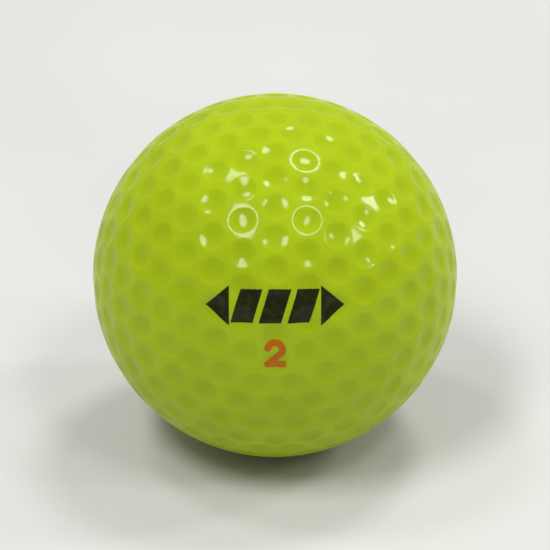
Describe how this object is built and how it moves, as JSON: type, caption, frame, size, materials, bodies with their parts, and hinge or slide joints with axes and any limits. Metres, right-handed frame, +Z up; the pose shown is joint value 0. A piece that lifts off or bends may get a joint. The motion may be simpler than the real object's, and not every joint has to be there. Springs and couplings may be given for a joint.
{
  "type": "golf ball",
  "caption": "Dimpled golf ball with a solid rubber core inside a glossy fluorescent yellow cover of two moulded half shells.",
  "frame": {"origin": "the ball's centre", "axes": "+Z up, -Y out through the pole of the dimple pattern on the front, printed side; the parting plane of the cover is Y = 0; +X to the right of a person who looks at the print"},
  "size_m": [0.0426, 0.0426, 0.0426],
  "materials": {
    "core_rubber": "matt, centreless ground",
    "cover_ionomer": "fluorescent yellow under clear gloss lacquer",
    "mark_ink": "black pad-printing ink under clear gloss lacquer",
    "number_ink": "orange-red pad-printing ink under clear gloss lacquer"
  },
  "bodies": {
    "root": {"core": "core_rubber", "cover_front_half": "cover_ionomer", "cover_rear_half": "cover_ionomer"}
  },
  "joints": []
}
